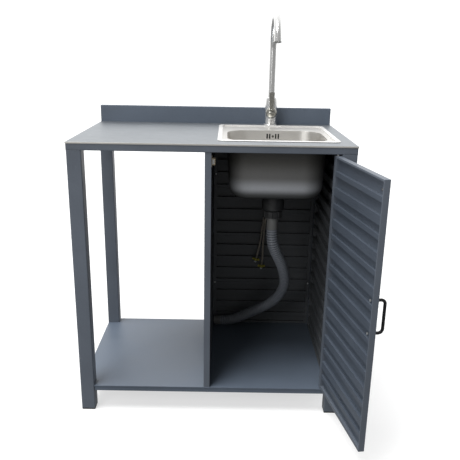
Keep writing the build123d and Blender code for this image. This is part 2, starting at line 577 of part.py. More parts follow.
cuff_bore = CUFF_D - 6
hose_cuff = disc(*DRAIN, HOSE_START_Z, WASTE_CUFF_TOP_Z, CUFF_D)
hose_cuff += disc(*DRAIN, WASTE_CUFF_TOP_Z - 4, WASTE_CUFF_TOP_Z, SPIGOT_D)
parts["hose_cuff"] = hose_cuff - disc(*DRAIN, HOSE_START_Z - 1, WASTE_CUFF_TOP_Z + 1, cuff_bore)

# ---- waste hose: from the cuff to the shelf's far rear corner ----------------------------
waste_route = [
    (205.0, 239.0, 581.0), (205.0, 239.0, 545.0), (218.0, 254.0, 500.0), (241.0, 280.0, 455.0),
    (259.0, 311.0, 405.0), (270.0, 346.0, 352.0), (264.0, 383.0, 300.0), (243.0, 414.0, 252.0),
    (207.0, 441.0, 214.0), (167.0, 465.0, 184.0), (128.0, 487.0, 155.0), (94.0, 508.0, 129.5),
    (62.0, 524.0, 113.6), (33.0, 529.0, 111.9)]
free_hose("waste_hose", waste_route, HOSE_D)
cuff_axis = (Vector(*waste_route[-1]) - Vector(*waste_route[-2])).normalized()
cuff_end = Vector(*waste_route[-1]) + cuff_axis * 28.0
end_cuff = rod_between(waste_route[-1], tuple(cuff_end), CUFF_D)
end_bore = rod_between(tuple(cuff_end - cuff_axis * 20.0), tuple(cuff_end + cuff_axis), cuff_bore)
parts["hose_end_cuff"] = end_cuff - end_bore

# ---- tap body, shank and mixer -----------------------------------------------------------
BASE_RING_T = 4.0
ring_top = TOP_Z + BASE_RING_T
base_ring = disc(TAP_X, TAP_Y, TOP_Z, ring_top, TAP_BASE_D)
base_ring = fillet(base_ring.edges().group_by(Axis.Z)[-1], radius=2.5)
parts["tap_base_ring"] = base_ring - disc(TAP_X, TAP_Y, TOP_Z - 1, ring_top + 1, SHANK_D)

body_line = Polyline((0, ring_top), (TAP_BODY_R, ring_top), (TAP_BODY_R, 932))
body_swell = Spline((TAP_BODY_R, 932), (22.0, 962), (21.2, 990), tangents=((0, 1), (-0.12, 1)))
body_crown = Spline((21.2, 990), (18.8, 998.5), (14.4, TAP_SHOULDER_Z), tangents=((-0.12, 1), (-1, 0.1)))
body_close = Polyline((14.4, TAP_SHOULDER_Z), (0, TAP_SHOULDER_Z), (0, ring_top))
body_face = make_face([body_line, body_swell, body_crown, body_close])
tap_body = Pos(TAP_X, TAP_Y, 0) * revolve(Plane.XZ * body_face, Axis.Z)
MIXER_D = 40.0
CARTRIDGE_D = 31.6
STEM_D = 8.0
tap_body += rod_y(TAP_X, MIXER_Z, MIXER_FACE_Y, TAP_Y, MIXER_D)
tap_body -= rod_y(TAP_X, MIXER_Z, MIXER_FACE_Y - 1, MIXER_FACE_Y + 20, CARTRIDGE_D + 0.4)
SPIGOT_LOW = 977.0
SWIVEL_D = 22.0
tap_body -= disc(TAP_X, TAP_Y, SPIGOT_LOW - 2, TAP_SHOULDER_Z + 1, SWIVEL_D + 2 * RUNNING_GAP)
parts["tap_body"] = tap_body

cartridge = rod_y(TAP_X, MIXER_Z, MIXER_FACE_Y + 0.5, MIXER_FACE_Y + 20, CARTRIDGE_D)
cartridge += rod_y(TAP_X, MIXER_Z, MIXER_FACE_Y - 7, MIXER_FACE_Y + 1, STEM_D)
parts["mixer_cartridge"] = cartridge

HUB_GAP = 0.4
DOME_R = 23.0
hub_back = MIXER_FACE_Y - HUB_GAP
dome_centre_y = hub_back + math.sqrt(DOME_R ** 2 - (MIXER_D / 2) ** 2) - 3
hub_cylinder = rod_y(TAP_X, MIXER_Z, hub_back - 20, hub_back, MIXER_D)
hub = hub_cylinder & (Pos(TAP_X, dome_centre_y, MIXER_Z) * Sphere(DOME_R))
hub -= rod_y(TAP_X, MIXER_Z, hub_back - 8, hub_back + 1, STEM_D + 2 * RUNNING_GAP)
LEVER_PIVOT = (hub_back - 7.0, MIXER_Z + 10.5)      # y, z of the axis that the lever lifts about
SLOT_HALF = 7.4
hub_slot_y = hub_back - 2.4
lever_slot = block(TAP_X - SLOT_HALF, TAP_X + SLOT_HALF, hub_back - 30, hub_slot_y,
                   LEVER_PIVOT[1] - 5.2, MIXER_Z + 30)
LEVER_PIN_D = 3.0
pin_place = Pos(TAP_X, LEVER_PIVOT[0], LEVER_PIVOT[1]) * Rot(0, 90, 0)
lever_pin = pin_place * Cylinder(LEVER_PIN_D / 2, 18.0)
parts["lever_pin"] = lever_pin
parts["mixer_hub"] = hub - lever_slot - lever_pin

LEVER_T = 4.5
LEVER_TOP_Z = 1020.0
blade = make_face(Polyline(
    (-6.8, LEVER_PIVOT[1] - 1), (-6.8, MIXER_Z + 16), (-10.5, LEVER_TOP_Z),
    (10.5, LEVER_TOP_Z), (6.8, MIXER_Z + 16), (6.8, LEVER_PIVOT[1] - 1), close=True))
blade_plane = Plane(origin=(TAP_X, LEVER_PIVOT[0] + LEVER_T / 2, 0), x_dir=(1, 0, 0), z_dir=(0, -1, 0))
lever = extrude(blade_plane * blade, amount=LEVER_T)
lever = fillet(lever.edges().filter_by(Axis.Y).group_by(Axis.Z)[-1], radius=2.5)
lever += pin_place * Cylinder(4.0, 13.6)
parts["mixer_lever"] = lever - pin_place * Cylinder(LEVER_PIN_D / 2 + RUNNING_GAP, 20.0)

parts["tap_shank"] = disc(TAP_X, TAP_Y, SHANK_END_Z, ring_top, SHANK_D)
backnut = disc(TAP_X, TAP_Y, RAIL_TOP - 9, RAIL_TOP, 34.0)
parts["tap_backnut"] = backnut - disc(TAP_X, TAP_Y, RAIL_TOP - 10, RAIL_TOP + 1, SHANK_D)

# ---- spout -------------------------------------------------------------------------------
spout_low = TAP_SHOULDER_Z + 0.3
sweep_end = math.radians(SPOUT_SWEEP)
arc_y = TAP_Y - SPOUT_ARC_R


def arc_point(angle):
    """A point of the spout's arc, counted from its upright leg."""
    return (TAP_X, arc_y + SPOUT_ARC_R * math.cos(angle), SPOUT_ARC_Z + SPOUT_ARC_R * math.sin(angle))


riser_top = (TAP_X, TAP_Y, SPOUT_ARC_Z)
spout_path = Wire([
    Line((TAP_X, TAP_Y, spout_low), riser_top),
    ThreePointArc(riser_top, arc_point(sweep_end / 2), arc_point(sweep_end))])
spout_ring = Circle(SPOUT_D / 2) - Circle(SPOUT_BORE / 2)
spout = sweep(Plane(origin=(TAP_X, TAP_Y, spout_low), z_dir=(0, 0, 1)) * spout_ring, path=spout_path)
spigot = disc(TAP_X, TAP_Y, SPIGOT_LOW, spout_low + 4, SWIVEL_D)
spigot -= disc(TAP_X, TAP_Y, SPIGOT_LOW - 1, spout_low + 5, SWIVEL_D - 4)
parts["spout"] = spout + spigot

tip = Vector(*arc_point(sweep_end))
tip_axis = Vector(0, -math.sin(sweep_end), math.cos(sweep_end))
AERATOR_L = 12.0
aerator = rod_between(tuple(tip), tuple(tip + tip_axis * AERATOR_L), SPOUT_D + 1.0)
outlet = rod_between(tuple(tip + tip_axis * (AERATOR_L - 3)), tuple(tip + tip_axis * (AERATOR_L + 1)), 20.0)
parts["aerator"] = aerator - outlet

# ---- supply hoses ------------------------------------------------------------------------
FERRULE_D = 9.6
FERRULE_L = 20.0
hose_top_z = SHANK_END_Z - FERRULE_L
supply_routes = {
    "cold_supply_hose": [
        (199.5, 542.0, hose_top_z), (199.5, 542.0, 778.0), (203.0, 541.0, 695.0),
        (201.5, 540.0, 615.0), (194.5, 541.0, 543.0), (187.0, 542.0, 483.0),
        (181.8, 542.5, 430.0), (172.4, 543.0, 391.0)],
    "hot_supply_hose": [
        (211.5, 542.0, hose_top_z), (211.5, 542.0, 778.0), (213.5, 536.0, 695.0),
        (209.0, 530.5, 615.0), (201.5, 531.5, 548.0), (195.5, 534.0, 487.0),
        (194.0, 536.0, 430.0), (193.4, 537.5, 385.0), (192.0, 538.5, 365.0)],
}
ferrules = []
union_nuts = []
union_plugs = []
NUT_D = 18.0
NUT_L = 11.0
WING_SPAN = 29.0
WING_T = 5.0
WING_L = 9.0
PLUG_D = 11.0
PLUG_L = 7.0
for name, route in supply_routes.items():
    free_hose(name, route, SUPPLY_D)
    top = Vector(*route[0])
    ferrules.append(rod_between(tuple(top + Vector(0, 0, FERRULE_L)), tuple(top), FERRULE_D))
    end = Vector(*route[-1])
    along = (end - Vector(*route[-2])).normalized()
    lower_ferrule = along * 14.0
    ferrules.append(rod_between(tuple(end), tuple(end + lower_ferrule), FERRULE_D))
    nut_start = end + lower_ferrule
    nut_plane = Plane(origin=tuple(nut_start), x_dir=(1, 0, -along.X / along.Z), z_dir=along)
    nut = extrude(nut_plane * Circle(NUT_D / 2), amount=NUT_L)
    nut += extrude(nut_plane * RectangleRounded(WING_SPAN, WING_T, 2.0), amount=WING_L)
    plug_end = nut_start + along * (NUT_L + PLUG_L)
    plug = rod_between(tuple(nut_start + along * 3), tuple(plug_end), PLUG_D)
    union_nuts.append(nut - plug)
    union_plugs.append(plug)
parts["hose_ferrules"] = compound(ferrules)
parts["union_nuts"] = compound(union_nuts)
parts["union_plugs"] = compound(union_plugs)

# ---- origin at the bottom centre of the box, without the loose hoses and what is on them --
ON_HOSES = ("waste_hose", "hose_end_cuff", "cold_supply_hose", "hot_supply_hose",
            "hose_ferrules", "union_nuts", "union_plugs")
fixed_parts = [shape for name, shape in parts.items() if name not in ON_HOSES]
object_box = Compound(fixed_parts).bounding_box()
ORIGIN = (object_box.center().X, object_box.center().Y, 0.0)
print("origin in cabinet coordinates", [round(value, 3) for value in ORIGIN])
print("box", round(object_box.size.X, 1), round(object_box.size.Y, 1), round(object_box.size.Z, 1))

os.makedirs("parts", exist_ok=True)
shift = Pos(-ORIGIN[0], -ORIGIN[1], 0)
for name, shape in parts.items():
    export_step(shift * shape, "parts/" + name + ".step")
print(len(parts), "nodes")
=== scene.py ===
import math

import bmesh
import bpy
import numpy as np
from mathutils import Matrix, Vector


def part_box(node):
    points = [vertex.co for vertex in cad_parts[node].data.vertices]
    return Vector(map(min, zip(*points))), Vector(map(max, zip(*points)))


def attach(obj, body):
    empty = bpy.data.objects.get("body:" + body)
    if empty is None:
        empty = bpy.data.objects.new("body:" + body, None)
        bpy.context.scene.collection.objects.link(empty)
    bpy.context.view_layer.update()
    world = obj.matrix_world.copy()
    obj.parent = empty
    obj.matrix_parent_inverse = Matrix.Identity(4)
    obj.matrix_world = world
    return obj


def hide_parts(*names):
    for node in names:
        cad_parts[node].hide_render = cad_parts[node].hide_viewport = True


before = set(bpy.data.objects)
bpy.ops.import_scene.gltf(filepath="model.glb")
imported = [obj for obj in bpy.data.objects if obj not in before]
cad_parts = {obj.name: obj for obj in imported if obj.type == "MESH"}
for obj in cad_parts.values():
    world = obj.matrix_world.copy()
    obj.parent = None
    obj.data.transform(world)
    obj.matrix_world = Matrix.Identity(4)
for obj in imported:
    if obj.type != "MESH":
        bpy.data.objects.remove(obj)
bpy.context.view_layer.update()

# Lengths are in millimetres unless a comment says metres, in the cabinet's own coordinates:
# x = 0 is the middle of the worktop, y = 0 its front edge and z = 0 the ground. point() turns
# them into the frame's metres.
MM = 0.001
top_low, top_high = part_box("worktop")
CABINET_X = (top_low.x + top_high.x) / 2
CABINET_Y = top_low.y


def point(x, y, z):
    return Vector((CABINET_X + x * MM, CABINET_Y + y * MM, z * MM))


# ---- camera ------------------------------------------------------------------------------
CAMERA_AT = (44.2, -1925.4, 1163.6)
CAMERA_PITCH = 0.3339       # downwards; the three angles are in radians
CAMERA_YAW = 0.0011
CAMERA_ROLL = 0.0167
CAMERA_LENS = 50.59
CAMERA_SENSOR = 36.0
CAMERA_SHIFT = (0.0100, 0.0956)
CAMERA_REACH = 50.0         # metres

scene = bpy.context.scene
scene.view_settings.view_transform = "Standard"
camera_data = bpy.data.cameras.new("camera")
camera_data.sensor_width = CAMERA_SENSOR
camera_data.lens = CAMERA_LENS
camera_data.shift_x, camera_data.shift_y = CAMERA_SHIFT
camera_data.clip_end = CAMERA_REACH
camera = bpy.data.objects.new("camera", camera_data)
scene.collection.objects.link(camera)
scene.camera = camera
ahead = Vector((math.sin(CAMERA_YAW) * math.cos(CAMERA_PITCH),
                math.cos(CAMERA_YAW) * math.cos(CAMERA_PITCH), -math.sin(CAMERA_PITCH)))
level = Vector((math.cos(CAMERA_YAW), -math.sin(CAMERA_YAW), 0.0))
upright = level.cross(ahead)
right = level * math.cos(CAMERA_ROLL) + upright * math.sin(CAMERA_ROLL)
up = upright * math.cos(CAMERA_ROLL) - level * math.sin(CAMERA_ROLL)
camera.matrix_world = (Matrix.Translation(point(*CAMERA_AT))
                       @ Matrix((right, up, -ahead)).transposed().to_4x4())


# ---- material helpers --------------------------------------------------------------------
SPOTS = (0.45, 0.75)        # noise values between which a spot of dust fades in
EVEN = (1.0, 1.0, 1.0)      # stretch of a noise that runs no way in particular
ALONG_X = (0.02, 1.0, 1.0)  # streaks 50 times as long as wide, along one axis
ALONG_Z = (1.0, 1.0, 0.02)


def srgb(*values):
    """A display colour, 0 to 255, as linear values."""
    out = []
    for value in values:
        share = value / 255
        out.append(share / 12.92 if share <= 0.04045 else ((share + 0.055) / 1.055) ** 2.4)
    return (*out, 1.0)


def scaled(colour, factor, lift=0.0):
    """The colour times the factor plus the lift, no channel above 1."""
    return (*(min(channel * factor + lift, 1.0) for channel in colour[:3]), 1.0)


def shaded(name, metallic=0.0, **sockets):
    """A new material with its node tree, its shader and its object coordinates."""
    material = bpy.data.materials.new(name)
    material.use_nodes = True
    tree = material.node_tree
    shader = tree.nodes["Principled BSDF"]
    shader.inputs["Metallic"].default_value = metallic
    for socket, value in sockets.items():
        shader.inputs[socket.replace("_", " ")].default_value = value
    coordinates = tree.nodes.new("ShaderNodeTexCoord").outputs["Object"]
    return material, tree, shader, coordinates


def noise(tree, coordinates, scale, detail=3.0, stretch=EVEN, roughness=0.55):
    """Noise in the object's coordinates; the scale is in waves per metre, before the stretch."""
    mapping = tree.nodes.new("ShaderNodeMapping")
    mapping.inputs["Scale"].default_value = stretch
    tree.links.new(coordinates, mapping.inputs["Vector"])
    texture = tree.nodes.new("ShaderNodeTexNoise")
    texture.inputs["Scale"].default_value = scale
    texture.inputs["Detail"].default_value = detail
    texture.inputs["Roughness"].default_value = roughness
    tree.links.new(mapping.outputs["Vector"], texture.inputs["Vector"])
    return texture.outputs["Fac"]


def spread(tree, value, low=0.0, high=1.0, start=0.3, end=0.7):
    """A value between start and end becomes one between low and high."""
    node = tree.nodes.new("ShaderNodeMapRange")
    node.inputs["From Min"].default_value = start
    node.inputs["From Max"].default_value = end
    node.inputs["To Min"].default_value = low
    node.inputs["To Max"].default_value = high
    tree.links.new(value, node.inputs["Value"])
    return node.outputs["Result"]


def worked_out(tree, operation, *values):
    """The result of a maths operation on sockets and numbers."""
    node = tree.nodes.new("ShaderNodeMath")
    node.operation = operation
    for socket, value in zip(node.inputs, values):
        if isinstance(value, float):
            socket.default_value = value
        else:
            tree.links.new(value, socket)
    return node.outputs[0]


def split(tree, vector):
    """The X, Y and Z sockets of a vector socket."""
    node = tree.nodes.new("ShaderNodeSeparateXYZ")
    tree.links.new(vector, node.inputs[0])
    return node.outputs


def blend_colour(tree, factor, first, second):
    """Colour first where factor is 0 and second where it is 1; either may be a socket."""
    node = tree.nodes.new("ShaderNodeMix")
    node.data_type = "RGBA"
    tree.links.new(factor, node.inputs["Factor"])
    for socket, colour in ((node.inputs[6], first), (node.inputs[7], second)):
        if isinstance(colour, tuple):
            socket.default_value = colour
        else:
            tree.links.new(colour, socket)
    return node.outputs[2]


def surface(tree, shader, colour, roughness, *bumps):
    """Links the colour, the roughness and (height, metres) bumps, one on top of the other."""
    tree.links.new(colour, shader.inputs["Base Color"])
    tree.links.new(roughness, shader.inputs["Roughness"])
    normal = None
    for height, distance in bumps:
        node = tree.nodes.new("ShaderNodeBump")
        node.inputs["Distance"].default_value = distance
        tree.links.new(height, node.inputs["Height"])
        if normal is not None:
            tree.links.new(normal, node.inputs["Normal"])
        normal = node.outputs["Normal"]
    tree.links.new(normal, shader.inputs["Normal"])


# ---- materials ---------------------------------------------------------------------------
COAT_DARK = 0.86            # the darker clouds of the powder coating, as a share of its colour
DUST_PALE = 2.2             # its specks: this share of its colour, and the lift on top
DUST_LIFT = 0.02
FADED = 0.3                 # share of the way that dusty plastic goes towards middle grey
MIDDLE_GREY = 0.5
SMUDGE = 0.4                # share of its range that a smudge adds to a steel's roughness
HOSE_STEP = 0.66            # length of hose between two rings of its mesh
RIDGE_PITCH = 8.8
PLAIN_END = 9.0             # length of hose without ridges at either end
BRAID_SCALE = 2.6
BOWL_AXIS = (205.0, 239.0, 899.0)
# Metres above the ground and colour there, from the bottom of the bowl upwards. The grey
# coating carries painted light, pale round the belly, and painted shade at the bottom and above.
COATING_WITH_PAINTED_LIGHT = ((0.705, (40, 40, 36)), (0.722, (92, 94, 94)), (0.748, (182, 185, 190)),
           (0.785, (118, 118, 117)), (0.84, (90, 89, 85)), (0.88, (108, 106, 101)))
BELLY_LIGHT_WIDE = 0.08         # metres from the bowl's middle to where the painted light on its belly ends
SIDE_SHADE_END = 0.19          # metres from the bowl's middle to where the painted shade towards its ends is darkest


def powder_coat(name, colour, light):
    """Fine-textured powder coating with faint clouds, specks of dust and an orange-peel bump."""
    material, tree, shader, at = shaded(name, IOR=1.45)
    clouds = noise(tree, at, 5.0, detail=4.0)
    grain = noise(tree, at, 900.0, detail=2.0)
    dust = noise(tree, at, 240.0, detail=2.0)
    dark = scaled(colour, COAT_DARK)
    pale = scaled(colour, DUST_PALE, DUST_LIFT)
    base = blend_colour(tree, spread(tree, clouds), dark, scaled(colour, light))
    base = blend_colour(tree, spread(tree, grain, 0.0, 0.16, *SPOTS), base, pale)
    base = blend_colour(tree, spread(tree, dust, high=0.5, start=0.73, end=0.8), base, pale)
    surface(tree, shader, base, spread(tree, clouds, 0.36, 0.48), (grain, 0.0001), (dust, 0.00008))
    return material


def steel(name, colour, smooth, rough, along=ALONG_X, streak=0.9, bump=0.00002, metallic=1.0,
          grain=900.0):
    """Brushed steel: streaks as dull as streak says, clouds and smudges."""
    material, tree, shader, at = shaded(name, metallic=metallic)
    streaks = noise(tree, at, grain, detail=4.0, stretch=along, roughness=0.7)
    clouds = noise(tree, at, 9.0, detail=4.0)
    smudges = noise(tree, at, 38.0)
    dull = scaled(colour, streak)
    base = blend_colour(tree, spread(tree, streaks), dull, colour)
    base = blend_colour(tree, spread(tree, clouds, high=0.35), base, dull)
    roughness = worked_out(tree, "MULTIPLY_ADD", spread(tree, smudges), (rough - smooth) * SMUDGE,
                           spread(tree, streaks, smooth, rough))
    surface(tree, shader, base, roughness, (streaks, bump))
    return material


def moulded(name, colour, smooth, rough, dusty=0.25):
    """Moulded plastic or rubber: fine grain, faint dust and scuffs."""
    material, tree, shader, at = shaded(name, IOR=1.48)
    grain = noise(tree, at, 1100.0, detail=2.0)
    dust = noise(tree, at, 60.0, detail=5.0)
    pale = (*(channel + (MIDDLE_GREY - channel) * FADED for channel in colour[:3]), 1.0)
    base = blend_colour(tree, spread(tree, dust, 0.0, dusty, *SPOTS), colour, pale)
    surface(tree, shader, base, spread(tree, dust, smooth, rough), (grain, 0.00008))
    return material


def ridged_plastic(name, crest_highlight, valley_shade_and_spots):
    """Corrugated hose: painted highlight on crests, painted shade in valleys, along its UV map."""
    material, tree, shader, at = shaded(name, IOR=1.48)
    along = split(tree, tree.nodes.new("ShaderNodeUVMap").outputs["UV"])["Y"]
    phase = worked_out(tree, "MULTIPLY_ADD", along, 2 * math.pi * HOSE_STEP / RIDGE_PITCH,
                       math.pi - 2 * math.pi * PLAIN_END / RIDGE_PITCH)
    wave = worked_out(tree, "COSINE", phase)
    dust = noise(tree, at, 60.0, detail=5.0)
    grain = noise(tree, at, 1100.0, detail=2.0)
    # Painted highlight on the crests and painted shade in the valleys; the dust adds darker spots
    # of the valley colour.
    base = blend_colour(tree, spread(tree, wave, start=-0.9, end=0.9), valley_shade_and_spots, crest_highlight)
    base = blend_colour(tree, spread(tree, dust, 0.0, 0.25, *SPOTS), base, valley_shade_and_spots)
    surface(tree, shader, base, spread(tree, dust, 0.34, 0.48), (grain, 0.00008))
    return material


def braid(name, strand_gap_shade, strand):
    """Steel braid: two crossing families of flat strands on the UV map, painted shade between
    them.
    """
    material, tree, shader, at = shaded(name, metallic=0.4)
    uv = tree.nodes.new("ShaderNodeUVMap").outputs["UV"]
    heights = []
    for turn in (math.radians(45), -math.radians(45)):
        mapping = tree.nodes.new("ShaderNodeMapping")
        mapping.inputs["Rotation"].default_value = (0.0, 0.0, turn)
        tree.links.new(uv, mapping.inputs["Vector"])
        wave = tree.nodes.new("ShaderNodeTexWave")
        wave.inputs["Scale"].default_value = BRAID_SCALE
        tree.links.new(mapping.outputs["Vector"], wave.inputs["Vector"])
        heights.append(wave.outputs["Fac"])
    over = worked_out(tree, "MAXIMUM", *heights)
    surface(tree, shader, blend_colour(tree, over, strand_gap_shade, strand),
            spread(tree, noise(tree, at, 60.0), 0.35, 0.5), (over, 0.0004))
    return material


bowl_centre = point(*BOWL_AXIS)


def bowl_coating_painted_light(name, speck, side_shade):
    """Bowl's outside: sprayed coating, painted light round the belly, painted shade above and
    aside.
    """
    material, tree, shader, at = shaded(name, IOR=1.4)
    place = split(tree, at)
    low, high = COATING_WITH_PAINTED_LIGHT[0][0], COATING_WITH_PAINTED_LIGHT[-1][0]
    # Painted light and shade by height: palest round the belly, darker at the bottom and above.
    ramp = tree.nodes.new("ShaderNodeValToRGB")
    tree.links.new(spread(tree, place["Z"], start=low, end=high), ramp.inputs["Fac"])
    ramp.color_ramp.interpolation = "EASE"
    while len(ramp.color_ramp.elements) < len(COATING_WITH_PAINTED_LIGHT):
        ramp.color_ramp.elements.new(0.5)
    for element, (height, colour) in zip(ramp.color_ramp.elements, COATING_WITH_PAINTED_LIGHT):
        element.position = (height - low) / (high - low)
        element.color = srgb(*colour)
    from_middle = worked_out(tree, "SUBTRACT", place["X"], bowl_centre.x)
    aside = worked_out(tree, "ABSOLUTE", from_middle)
    shade_aside = spread(tree, aside, high=0.8, start=BELLY_LIGHT_WIDE, end=SIDE_SHADE_END)
    grain = noise(tree, at, 700.0)
    clouds = noise(tree, at, 14.0, detail=4.0)
    tint = blend_colour(tree, spread(tree, grain, high=0.25), ramp.outputs["Color"], speck)
    # Painted shade: the coating darkens towards the bowl's ends.
    tint = blend_colour(tree, shade_aside, tint, side_shade)
    surface(tree, shader, tint, spread(tree, clouds, 0.42, 0.6), (grain, 0.00015))
    return material


# The shelf, plank and door coats are copies of the one powder coat. Each is made lighter or darker
# to stand in for how light falls on those parts: painted light and painted shade.
coat = powder_coat("coat", srgb(94, 101, 111), 1.06)
shelf_coat_light_matched = powder_coat("shelf_coat_light_matched", srgb(90, 100, 113), 1.05)
plank_coat_light_matched = powder_coat("plank_coat_light_matched", srgb(84, 87, 90), 1.05)
door_coat_light_matched = powder_coat("door_coat_light_matched", srgb(76, 84, 95), 1.05)
worktop_steel = steel("worktop_steel", srgb(158, 163, 168), 0.36, 0.52, streak=0.72,
                      bump=0.00004, grain=380.0)
# The worktop's front edges get a paler, less metallic copy of its steel: a painted highlight.
edge_steel_painted_highlight = steel("edge_steel_painted_highlight", srgb(190, 188, 183), 0.3, 0.42, metallic=0.25)
zinc = steel("zinc", srgb(196, 198, 198), 0.3, 0.42, ALONG_Z, metallic=0.4)
bowl_steel = steel("bowl_steel", srgb(224, 222, 218), 0.32, 0.44)
# The sink's deck gets a paler, less metallic copy of the bowl's steel: painted light on its top.
deck_steel_painted_light = steel("deck_steel_painted_light", srgb(240, 239, 237), 0.3, 0.42, metallic=0.55)
small_steel = steel("small_steel", srgb(205, 205, 203), 0.18, 0.3, ALONG_Z, streak=0.85)
tap_steel = steel("tap_steel", srgb(222, 222, 221), 0.16, 0.26, ALONG_Z, streak=0.92,
                  bump=0.00001, metallic=0.8)
lever_steel = steel("lever_steel", srgb(168, 167, 160), 0.18, 0.3, ALONG_Z)
brass = steel("brass", srgb(176, 168, 72), 0.42, 0.56, ALONG_Z, streak=0.8, metallic=0.3)
ferrule_steel = steel("ferrule_steel", srgb(150, 144, 134), 0.35, 0.5, ALONG_Z, streak=0.85,
                      metallic=0.5)
dark_steel = steel("dark_steel", srgb(96, 95, 92), 0.3, 0.45, ALONG_Z, streak=0.85)
black_plastic = moulded("black_plastic", srgb(44, 45, 46), 0.35, 0.5, dusty=0.12)
black_lacquer = moulded("black_lacquer", srgb(24, 25, 27), 0.25, 0.4, dusty=0.1)
foot_plastic = moulded("foot_plastic", srgb(22, 22, 23), 0.5, 0.7)
rubber = moulded("rubber", srgb(28, 28, 29), 0.6, 0.8)
cuff_plastic = moulded("cuff_plastic", srgb(112, 113, 112), 0.35, 0.5)
beige_plastic = moulded("beige_plastic", srgb(206, 190, 160), 0.35, 0.5)
white_plastic = moulded("white_plastic", srgb(222, 226, 228), 0.3, 0.45)
# The hose's crest colour is a painted highlight and its valley colour painted shade.
hose_plastic = ridged_plastic("hose_plastic", srgb(134, 139, 147), srgb(94, 98, 105))
# The first braid colour is painted shade between the strands.
braided = braid("braid", srgb(120, 112, 102), srgb(206, 198, 186))
# The bowl's outside carries painted light round the belly and painted shade above, below and
# aside.
under_coating_painted_light = bowl_coating_painted_light("bowl_coating_painted_light", srgb(30, 30, 28), srgb(48, 48, 46))


# ---- mesh helpers ------------------------------------------------------------------------
TURNED_EDGE = 35.0          # degrees; each kind of piece is smooth except at sharper edges
TUBE_EDGE = 40.0
WING_EDGE = 50.0
SAME_SPOT = 1e-7            # metres; points closer than this are one
ON_AXIS = 0.001             # radius that stands for a point on the axis


def piece(name, mesh, material, sharp_from):
    """A piece on the cabinet, smooth except at edges sharper than the angle."""
    made = bpy.data.objects.new(name, mesh)
    scene.collection.objects.link(made)
    mesh.materials.append(material)
    mesh.polygons.foreach_set("use_smooth", [True] * len(mesh.polygons))
    mesh.set_sharp_from_angle(angle=math.radians(sharp_from))
    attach(made, "cabinet")
    return made


def ring_mesh(name, rings):
    """A skin through rings of equally many points, with both ends capped."""
    count = len(rings[0])
    last = len(rings) - 1
    faces = []
    uvs = []
    for span in range(last):
        base = span * count
        for index in range(count):
            after = (index + 1) % count
            faces.append((base + index, base + after, base + count + after, base + count + index))
            uvs += [(index, span), (index + 1, span), (index + 1, span + 1), (index, span + 1)]
    faces.append(tuple(range(count)))
    faces.append(tuple(range(last * count, (last + 1) * count)))
    uvs += [(0, 0)] * (2 * count)
    mesh = bpy.data.meshes.new(name)
    mesh.from_pydata([tuple(vertex) for ring in rings for vertex in ring], [], faces)
    for loop, uv in zip(mesh.uv_layers.new(name="UVMap").data, uvs):
        loop.uv = uv
    work = bmesh.new()
    work.from_mesh(mesh)
    bmesh.ops.remove_doubles(work, verts=work.verts, dist=SAME_SPOT)
    bmesh.ops.recalc_face_normals(work, faces=work.faces)
    work.to_mesh(mesh)
    work.free()
    return mesh


def circle(centre, first, second, radius, sides):
    """Points round a centre; the radius is in metres and the two directions have length 1."""
    angles = [2 * math.pi * index / sides for index in range(sides)]
    return [centre + (first * math.cos(angle) + second * math.sin(angle)) * radius
            for angle in angles]


def turned(name, profile, origin, axis, material, sides):
    """A turned piece: (radius, height) pairs about an axis of length 1 through the origin."""
    first = axis.orthogonal().normalized()
    second = axis.cross(first)
    rings = [circle(origin + axis * height * MM, first, second, max(radius, ON_AXIS) * MM, sides)
             for radius, height in profile]
    return piece(name, ring_mesh(name, rings), material, TURNED_EDGE)


def frames_along(path):
    """Two normals at each point of a path, without twist."""
    normal = None
    frames = []
    for index in range(len(path)):
        before = path[max(index - 1, 0)]
        after = path[min(index + 1, len(path) - 1)]
        tangent = (after - before).normalized()
        if normal is None:
            normal = tangent.orthogonal().normalized()
        normal = (normal - tangent * normal.dot(tangent)).normalized()
        frames.append((normal, tangent.cross(normal)))
    return frames


def tube(name, path, radius_at, material, sides):
    """A round tube along a path; radius_at gives the radius at a distance from its start."""
    rings = []
    travelled = 0.0
    previous = path[0]
    for spot, (first, second) in zip(path, frames_along(path)):
        travelled += (spot - previous).length / MM
        previous = spot
        rings.append(circle(spot, first, second, radius_at(travelled) * MM, sides))
    return piece(name, ring_mesh(name, rings), material, TUBE_EDGE)


def smooth_route(name, route, step):
    """Points at even steps along the NURBS spline whose control points are the route."""
    curve = bpy.data.curves.new(name, "CURVE")
    curve.dimensions = "3D"
    spline = curve.splines.new("NURBS")
    spline.points.add(len(route) - 1)
    for control, spot in zip(spline.points, route):
        control.co = (*point(*spot), 1.0)
    spline.order_u = 3
    spline.use_endpoint_u = True
    spline.resolution_u = 24
    holder = bpy.data.objects.new(name, curve)
    line = bpy.data.meshes.new_from_object(holder)
    raw = np.array([vertex.co for vertex in line.vertices])
    bpy.data.objects.remove(holder)
    bpy.data.curves.remove(curve)
    bpy.data.meshes.remove(line)
    lengths = np.concatenate(([0.0], np.cumsum(np.linalg.norm(np.diff(raw, axis=0), axis=1))))
    count = int(round(lengths[-1] / (step * MM)))
    even = np.linspace(0.0, lengths[-1], count + 1)
    return [Vector([np.interp(spot, lengths, raw[:, axis]) for axis in range(3)]) for spot in even]


def path_length(path):
    """The length of a path in metres."""
    return sum((after - before).length for before, after in zip(path, path[1:]))


